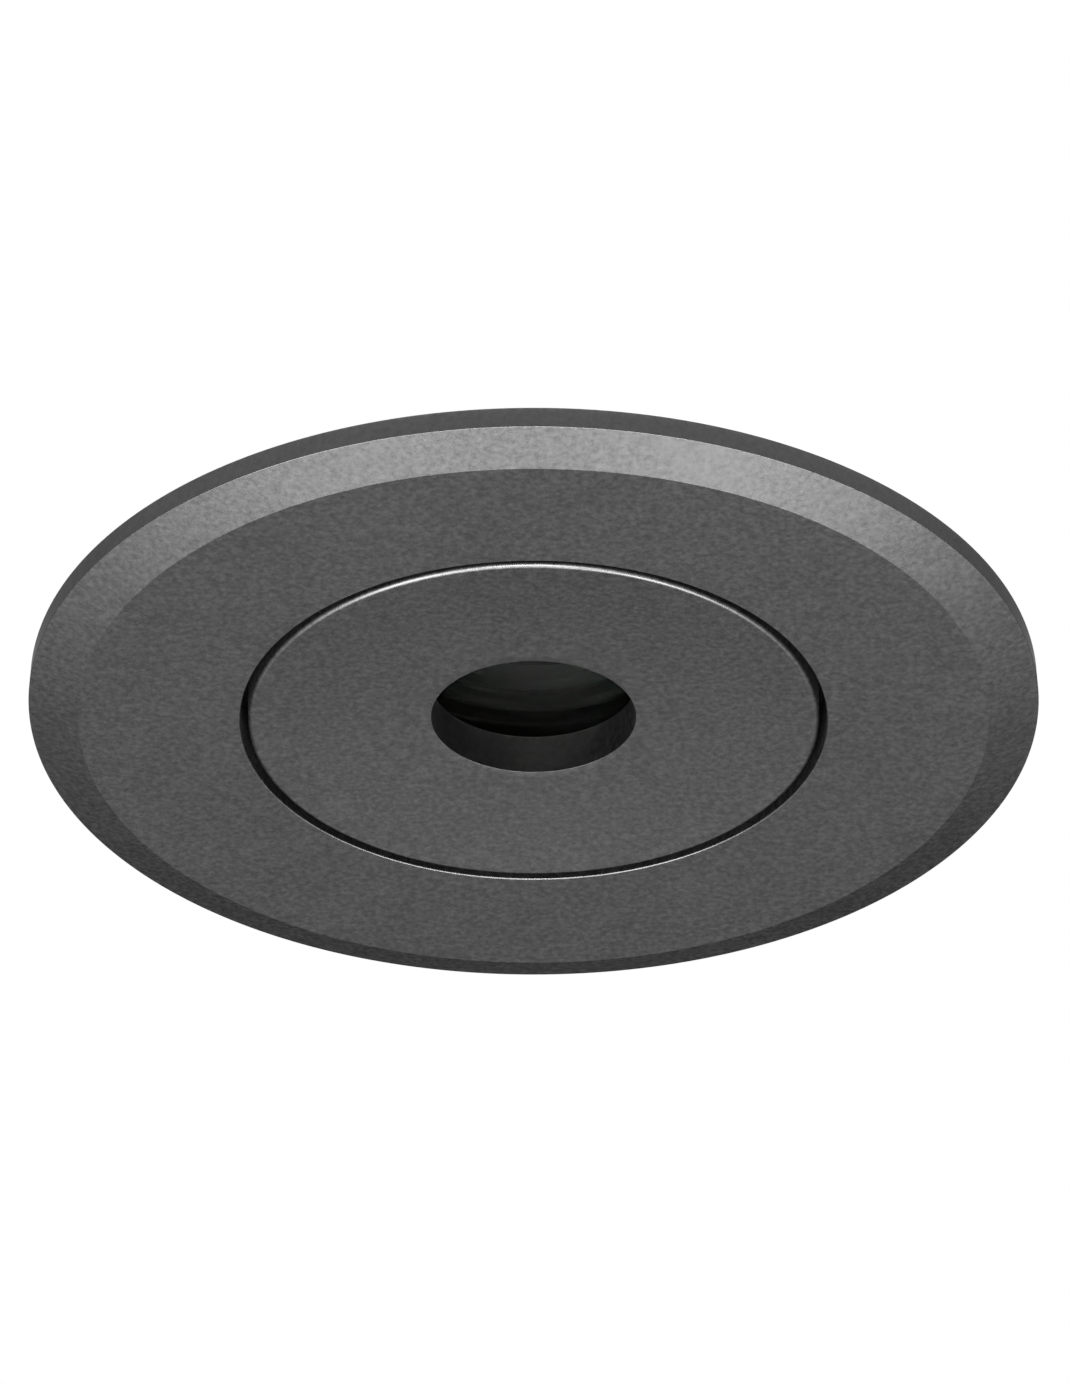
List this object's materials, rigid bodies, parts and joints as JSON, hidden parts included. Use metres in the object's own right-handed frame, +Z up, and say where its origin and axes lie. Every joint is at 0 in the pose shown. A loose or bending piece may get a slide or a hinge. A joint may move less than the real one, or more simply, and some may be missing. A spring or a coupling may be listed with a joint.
{
  "type": "soffit downlight",
  "caption": "Round recessed soffit downlight with a flush pinhole plate in a bevelled trim ring, a finned can, sprung side clips and a cable gland on top.",
  "frame": {"origin": "on the light's axis, in the plane of the soffit's underside", "axes": "+Z up along the light's axis into the void, X through the two spring clips"},
  "size_m": [0.1406, 0.1, 0.084],
  "materials": {
    "trim_anodised": "dark grey bead-blasted anodised aluminium",
    "gasket_foam": "closed-cell black foam",
    "nickel_magnet": "nickel plated magnet",
    "stainless_steel": "pressed and brushed stainless steel",
    "spring_steel": "drawn stainless spring wire",
    "clear_glass": "toughened clear glass",
    "silicone": "moulded grey silicone",
    "black_rubber": "moulded black rubber",
    "black_plastic": "moulded matt black plastic",
    "clear_acrylic": "polished clear acrylic",
    "white_plastic": "moulded white plastic",
    "phosphor": "yellow phosphor in silicone",
    "board_white": "white solder mask on aluminium",
    "thermal_pad": "soft grey thermal pad",
    "cast_black": "black powder-coated cast aluminium",
    "nickel_brass": "nickel plated brass",
    "bare_brass": "bare brass",
    "lead_red": "red wire insulation",
    "lead_black": "black wire insulation"
  },
  "bodies": {
    "housing": {"trim_ring": "trim_anodised", "soffit_gasket": "gasket_foam", "retaining_ring": "stainless_steel", "retaining_ring_screws": "stainless_steel", "front_glass": "clear_glass", "glass_gasket": "silicone", "anti_glare_baffle": "black_plastic", "lens_holder": "black_plastic", "tir_lens": "clear_acrylic", "led_holder": "white_plastic", "terminal_block": "white_plastic", "led_emitter": "phosphor", "led_board": "board_white", "thermal_pad": "thermal_pad", "led_screws": "stainless_steel", "housing_screws": "stainless_steel", "cover_screws": "stainless_steel", "clip_bracket_screws": "stainless_steel", "terminal_screws": "stainless_steel", "terminal_fixing_screw": "stainless_steel", "housing_seal": "silicone", "cover_gasket": "black_rubber", "gland_washer": "black_rubber", "gland_seal": "black_rubber", "heat_sink": "cast_black", "rear_cover": "cast_black", "gland_body": "nickel_brass", "gland_nut": "nickel_brass", "gland_locknut": "nickel_brass", "terminal_inserts": "bare_brass", "led_lead_positive": "lead_red", "led_lead_negative": "lead_black", "clip_bracket_right": "stainless_steel", "clip_bracket_left": "stainless_steel", "clip_pin_right": "stainless_steel", "clip_pin_left": "stainless_steel", "clip_spring_right": "spring_steel", "clip_spring_left": "spring_steel"},
    "plate": {"pinhole_plate": "trim_anodised", "plate_magnets": "nickel_magnet"},
    "clip_right": {"clip_arm_right": "stainless_steel", "clip_tip_right": "black_rubber"},
    "clip_left": {"clip_arm_left": "stainless_steel", "clip_tip_left": "black_rubber"}
  },
  "joints": [
    {"name": "plate_pull", "type": "slide", "parent": "housing", "child": "plate", "axis": [0, 0, -1], "range_m": [0, 0.04]},
    {"name": "clip_right", "type": "hinge", "parent": "housing", "child": "clip_right", "pos_m": [0.0365, 0, 0.015], "axis": [0, -1, 0], "range_deg": [0, 106], "stiffness_Nm_per_rad": 0.135, "springref_deg": -34.38, "deforming": ["clip_spring_right"]},
    {"name": "clip_left", "type": "hinge", "parent": "housing", "child": "clip_left", "pos_m": [-0.0365, 0, 0.015], "axis": [0, 1, 0], "range_deg": [0, 106], "stiffness_Nm_per_rad": 0.135, "springref_deg": -34.38, "deforming": ["clip_spring_left"]}
  ]
}
